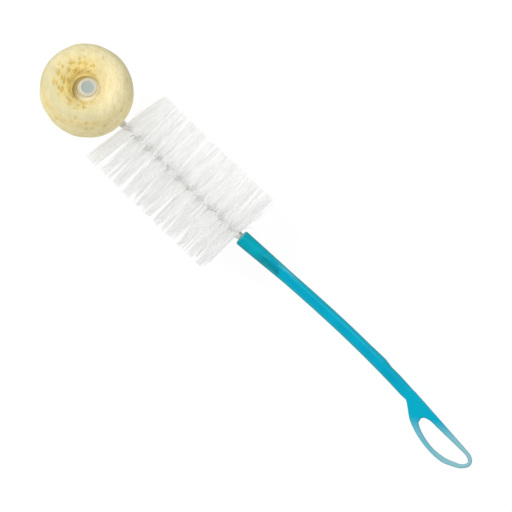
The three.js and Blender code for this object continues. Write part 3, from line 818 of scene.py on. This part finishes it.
def foamRing():
    mesh = settled(turned("foamCage", foam["cage"], foam["steps"]), "foamRing",
                   ("SUBSURF", {"levels": foam["rounding"], "render_levels": foam["rounding"]}))
    marks = {"pit": [], "dimple": [], "wall": [], "arris": [], "rim": []}
    moved = []
    noise.seed_set(foam["warpSeed"])
    for vertex in mesh.vertices:
        zones = zonesAt(vertex.co)
        big, small = poresAt(vertex.co, zones)
        moved.append(foamPoint(vertex, zones, big, small))
        for name, value in foamMarks(vertex.co, zones, big, small).items():
            marks[name].append(value)
    mesh.vertices.foreach_set("co", [value for point in moved for value in point])
    mark(mesh, marks)
    piece = addPiece("foamRing", raiseToTip(mesh), foamFinish(), "foam_ring", "foam", "sponge")
    print(f"foam ring: {len(mesh.polygons)} faces")


foamRing()


# tip cap and backing washer

cap = {
    # radius and height in mm
    "profile": [
        (0, 4.4), (2.85, 4.4), (2.85, -7.0), (4.45, -7.0), (4.45, 1.8), (7.2, 1.8), (7.2, 3.4), (5.45, 4.6),
        (5.4, 5.3), (5.05, 6.0), (4.45, 6.35), (3.6, 6.4), (3.1, 5.6), (2.4, 5.6), (0, 5.6),
    ],
    "washer": [(2.85, -8.8), (8.0, -8.8), (8.0, -7.3), (2.85, -7.3), (2.85, -8.8)],
    "steps": 72,
    "edgeRound": 0.3,
    "crown": span(3.4, 6.4),                # heights between which the crown rises from the brim
    "askew": Vector((0.87, 0.83, 0)) * mm,  # how far its top sits off the axis
    "window": span(3.9, 2.7),               # radii between which the crown gives way to its window
    "brim": span(5.3, 4.6),                 # and heights, to the brim
    # the brim takes painted shade on the foam's worn side
    "dimSide": foam["sides"]["wornSide"], "dim": (-0.75, 0.75),
    "leastRadius": 0.1 * mm,
}


def shapeCrown(mesh):  # leans the crown, and marks its window, its brim and the brim's side of painted shade
    marks = {"window": [], "brim": [], "dim": []}
    for vertex in mesh.vertices:
        place = vertex.co.copy()
        radius = max(cap["leastRadius"], math.hypot(place.x, place.y))
        marks["window"].append(share(radius, *cap["window"]))
        marks["brim"].append(share(place.z, *cap["brim"]))
        marks["dim"].append(share(place.dot(cap["dimSide"]) / radius, *cap["dim"]))
        vertex.co = place + cap["askew"] * share(place.z, *cap["crown"])
    mark(mesh, marks)
    return mesh


def tipCap():
    milky = capPlastic()
    crown = raiseToTip(shapeCrown(turned("cap", cap["profile"], cap["steps"], cap["edgeRound"])))
    addPiece("cap", crown, milky, "brush", "cap_plastic", "tip_cap")
    ring = raiseToTip(turned("washer", cap["washer"], cap["steps"], cap["edgeRound"]))
    addPiece("washer", ring, milky, "brush", "cap_plastic", "backing_washer")


tipCap()
print("cap and washer made")


# handle: the frame's own form, with the soft edges of a moulding

handle = {
    "grain": 0.3 * mm,
    "softening": 10, "smoothing": 0.5,  # rounds of smoothing, and how strong each is
    "swell": 0.12 * mm,
    "crestSlope": 0.18, "crestSpread": 0.1,  # sideways slope where the bar's painted highlight line runs
    # pulls on the moulding, in mm: X, Y, reach, and how far along X and Y
    "pulls": [
        (-19.0, 0.2, 12.0, -1.15, 0.0),   # socket's mouth
        (90.0, 6.0, 8.0, -2.5, 0.0),      # step in the bar's edge
        (88.5, 6.2, 5.0, 0.0, -0.3),
        (109.0, -4.2, 8.0, 0.4, 0.57),    # loop's shoulder
        (118.5, -4.1, 3.0, 0.9, 0.0),     # near end of the loop's hole
        (123.5, -1.5, 5.5, 0.0, 0.42),
        (157.0, -3.4, 14.0, -0.9, 0.0),   # far end of the loop
        (149.0, -11.2, 6.0, -0.2, 0.4),
    ],
}


def pulled(place):  # how far the pulls move a point of the handle
    move = Vector((0, 0, 0))
    for x, y, reach, dx, dy in handle["pulls"]:
        away = math.hypot(place.x / mm - x, place.y / mm - y) / reach
        if away < 1:
            move += Vector((dx, dy, 0)) * mm * (1 - away ** 2) ** 2
    return move


def mouldedHandle():
    form = bmesh.new()
    form.from_mesh(frame["nodes"]["handle"].data)
    bmesh.ops.remove_doubles(form, verts=form.verts, dist=weld)
    mesh = settled(meshFrom(form, "handleRough"), "handleMoulded",
                   ("REMESH", {"mode": "VOXEL", "voxel_size": handle["grain"]}),
                   ("SMOOTH", {"factor": handle["smoothing"], "iterations": handle["softening"]}),
                   ("DISPLACE", {"strength": handle["swell"], "mid_level": 0.0}))
    for vertex in mesh.vertices:
        vertex.co += pulled(vertex.co)
    mesh.update()
    marks = {"steep": [], "crest": []}
    for vertex in mesh.vertices:
        normal = vertex.normal
        # the painted highlight follows a sideways slope of the top, where a lamp's reflection falls
        crest = fading(abs(normal.y - handle["crestSlope"]), handle["crestSpread"])
        marks["steep"].append(1 - abs(normal.z))
        marks["crest"].append(crest if normal.z > 0 else 0.0)
    mark(mesh, marks)
    addPiece("handleMoulded", mesh, handlePlastic(), "brush", "handle_plastic", "handle")
    print(f"handle: {len(mesh.polygons)} faces")


mouldedHandle()


# stage: floor, light and camera

stage = {
    "aim": Vector((-5.06, -1.78, 25.5)) * mm,
    "width": 274.9 * mm,                     # of the view at the stem
    "distance": 8.0, "clipEnd": 20.0,
    "sensor": 36.0,
    "roll": math.radians(43.73),
    "floorSize": 6.0,
    "floorBounce": (0.9, 0.9, 0.9, 1.0),
    "floorShown": (0.14, 0.14, 0.14, 1.0),   # its share that still takes a shadow in the picture
    "lift": 0.89,
    "sky": 0.64, "skyShown": 1.0, "skyColour": (1.0, 1.0, 1.0, 1.0),
    "lamps": {
        "key": {"direction": (-0.9, -0.2, 1.0), "distance": 1.1, "size": 0.45, "power": 4.6},
        "edge": {"direction": (0.1, 0.38, 1.0), "distance": 1.2, "size": 0.12, "power": 1.5},
    },
}


def makeFloor():
    form = bmesh.new()
    bmesh.ops.create_grid(form, x_segments=1, y_segments=1, size=stage["floorSize"])
    floor = linked("floor", meshFrom(form, "floor"))
    finish = Finish(bpy.data.materials.new("floor"))
    bounce = finish.node("ShaderNodeBsdfDiffuse", {}, {"Color": stage["floorBounce"]})
    matt = finish.node("ShaderNodeBsdfDiffuse", {}, {"Color": stage["floorShown"]})
    lift = finish.node("ShaderNodeEmission", {}, {"Strength": stage["lift"]})
    shown = finish.node("ShaderNodeAddShader", {}, {0: matt, 1: lift})
    both = finish.node("ShaderNodeMixShader", {}, {0: finish.seen(), 1: bounce, 2: shown})
    floor.data.materials.append(finish.show(both))


def makeSky():
    sky = Finish(bpy.data.worlds.new("sky"), "ShaderNodeOutputWorld")
    ends = {"Value": sky.seen(), "To Min": stage["sky"], "To Max": stage["skyShown"]}
    level = sky.node("ShaderNodeMapRange", {}, ends)
    glow = sky.node("ShaderNodeBackground", {}, {"Color": stage["skyColour"], "Strength": level})
    bpy.context.scene.world = sky.show(glow)


def makeLamp(name, direction, distance, size, power):
    data = bpy.data.lights.new(name, "AREA")
    data.shape = "DISK"
    data.size = size
    data.energy = power
    lamp = linked(name, data)
    lamp.location = stage["aim"] + Vector(direction).normalized() * distance
    lamp.rotation_euler = Vector(direction).to_track_quat("Z", "Y").to_euler()
    lamp.visible_camera = False


def makeCamera():
    data = bpy.data.cameras.new("camera")
    data.sensor_width = stage["sensor"]
    data.lens = stage["sensor"] * stage["distance"] / stage["width"]
    data.clip_end = stage["clipEnd"]
    camera = linked("camera", data)
    camera.location = stage["aim"] + Vector((0, 0, stage["distance"]))
    camera.rotation_euler = (0, 0, stage["roll"])
    bpy.context.scene.camera = camera


makeFloor()
makeSky()
for name, lamp in stage["lamps"].items():
    makeLamp(name, **lamp)
makeCamera()
bpy.context.scene.view_settings.view_transform = "Standard"
print("stage made")
